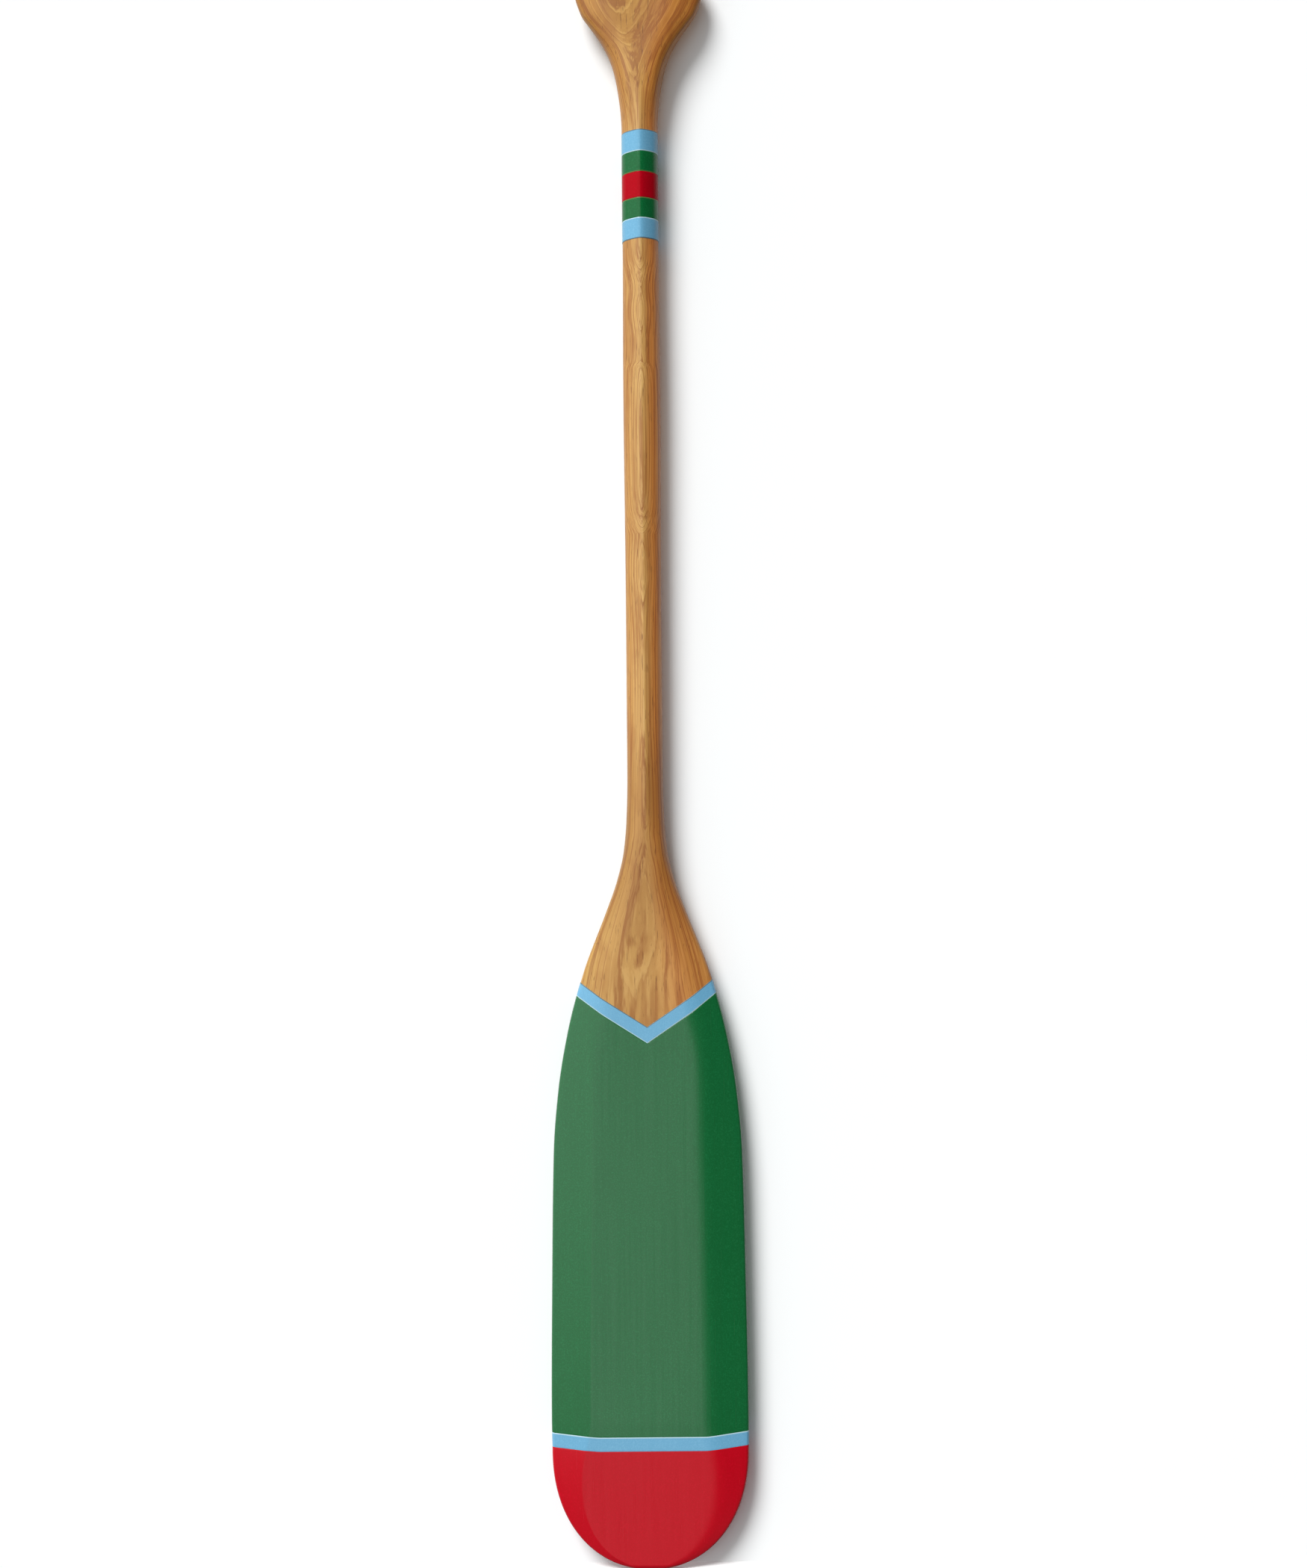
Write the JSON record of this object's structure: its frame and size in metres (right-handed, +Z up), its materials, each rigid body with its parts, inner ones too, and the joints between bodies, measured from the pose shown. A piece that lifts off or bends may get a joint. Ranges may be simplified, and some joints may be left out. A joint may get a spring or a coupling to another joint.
{
  "type": "canoe paddle",
  "caption": "One-piece wooden canoe paddle with a long rounded blade, round shaft and flared palm grip, painted in enamel bands.",
  "frame": {"origin": "centre of the bounding box at its foot, on the very tip of the blade", "axes": "+Z up the shaft from the blade tip to the grip, +X across the blade, -Y out of the front face"},
  "size_m": [0.1744, 0.0326, 1.4221],
  "materials": {
    "cherry": "clear satin varnish",
    "red_enamel": "satin enamel paint",
    "green_enamel": "satin enamel paint",
    "light_blue_enamel": "satin enamel paint"
  },
  "bodies": {
    "root": {"paddle_blank": "cherry", "blade_tip_coat": "red_enamel", "blade_stripe_coat": "light_blue_enamel", "blade_field_coat": "green_enamel", "blade_chevron_coat": "light_blue_enamel", "band_lower_blue_coat": "light_blue_enamel", "band_lower_green_coat": "green_enamel", "band_middle_red_coat": "red_enamel", "band_upper_green_coat": "green_enamel", "band_upper_blue_coat": "light_blue_enamel"}
  },
  "joints": []
}
